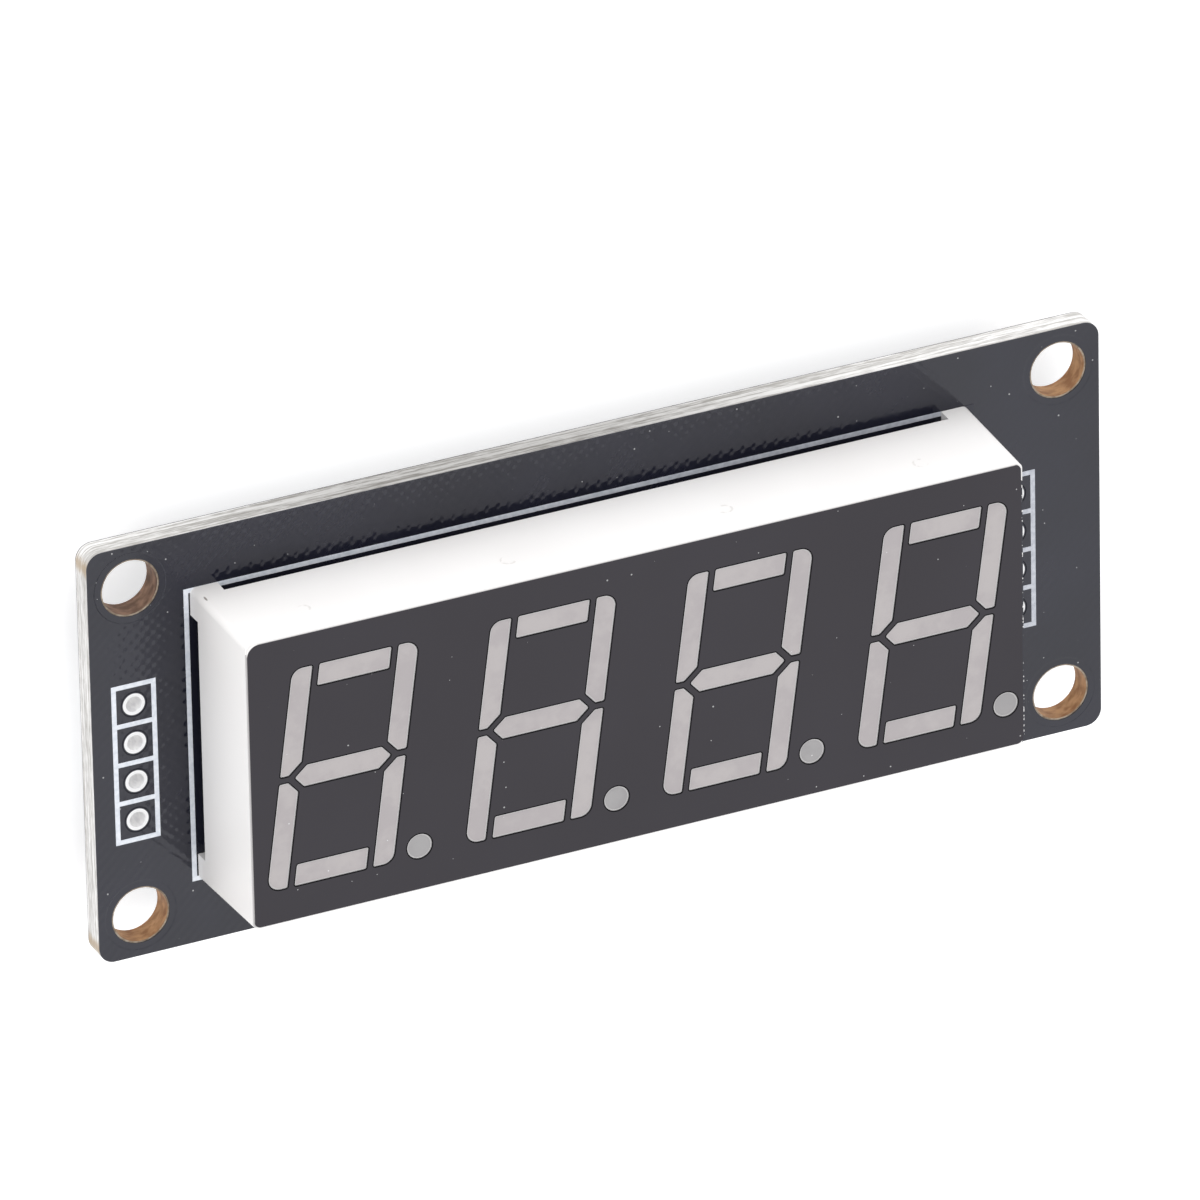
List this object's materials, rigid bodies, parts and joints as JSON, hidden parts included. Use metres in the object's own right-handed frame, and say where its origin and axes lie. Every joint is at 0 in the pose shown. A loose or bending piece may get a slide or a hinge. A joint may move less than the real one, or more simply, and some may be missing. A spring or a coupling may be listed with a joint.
{
  "type": "seven segment display module",
  "caption": "Seven segment LED display with slanted digits and decimal points, soldered on a black circuit board with corner mounting holes and a plated header row at each end.",
  "frame": {"origin": "centre of the four mounting holes, on the circuit board's rear face", "axes": "+X along the row of digits, left to right; +Y up the digits; +Z out of the display's face"},
  "size_m": [0.0654, 0.027, 0.0116],
  "materials": {
    "glass_epoxy": "cut glass-fibre laminate",
    "led_board_laminate": "matte laminate",
    "solder_mask": "matte black mask",
    "tinned_copper": "tinned copper",
    "legend_ink": "matte white ink",
    "housing_plastic": "satin moulded plastic",
    "face_layer": "matte black layer",
    "segment_resin": "diffusing resin",
    "led_die": "polished die",
    "potting_resin": "cast resin",
    "pin_metal": "tinned wire",
    "solder": "bright solder",
    "chip_package": "moulded epoxy",
    "lead_metal": "matte tin",
    "resistor_coat": "glazed coat",
    "capacitor_ceramic": "fired ceramic",
    "end_cap_metal": "matte tin"
  },
  "bodies": {
    "root": {"capacitor_bodies": "capacitor_ceramic", "capacitor_end_caps": "end_cap_metal", "circuit_board": "glass_epoxy", "digit_1_point": "segment_resin", "digit_1_segment_a": "segment_resin", "digit_1_segment_b": "segment_resin", "digit_1_segment_c": "segment_resin", "digit_1_segment_d": "segment_resin", "digit_1_segment_e": "segment_resin", "digit_1_segment_f": "segment_resin", "digit_1_segment_g": "segment_resin", "digit_2_point": "segment_resin", "digit_2_segment_a": "segment_resin", "digit_2_segment_b": "segment_resin", "digit_2_segment_c": "segment_resin", "digit_2_segment_d": "segment_resin", "digit_2_segment_e": "segment_resin", "digit_2_segment_f": "segment_resin", "digit_2_segment_g": "segment_resin", "digit_3_point": "segment_resin", "digit_3_segment_a": "segment_resin", "digit_3_segment_b": "segment_resin", "digit_3_segment_c": "segment_resin", "digit_3_segment_d": "segment_resin", "digit_3_segment_e": "segment_resin", "digit_3_segment_f": "segment_resin", "digit_3_segment_g": "segment_resin", "digit_4_point": "segment_resin", "digit_4_segment_a": "segment_resin", "digit_4_segment_b": "segment_resin", "digit_4_segment_c": "segment_resin", "digit_4_segment_d": "segment_resin", "digit_4_segment_e": "segment_resin", "digit_4_segment_f": "segment_resin", "digit_4_segment_g": "segment_resin", "display_hole_plating": "tinned_copper", "display_housing": "housing_plastic", "display_pins": "pin_metal", "driver_chip": "chip_package", "driver_chip_leads": "lead_metal", "face_film": "face_layer", "header_plating_left": "tinned_copper", "header_plating_right": "tinned_copper", "led_board": "led_board_laminate", "led_dies": "led_die", "legend_front": "legend_ink", "legend_rear": "legend_ink", "pin_solder": "solder", "potting_resin": "potting_resin", "resistor_bodies": "resistor_coat", "resistor_end_caps": "end_cap_metal", "solder_mask_front": "solder_mask", "solder_mask_rear": "solder_mask", "surface_pads": "tinned_copper"}
  },
  "joints": []
}
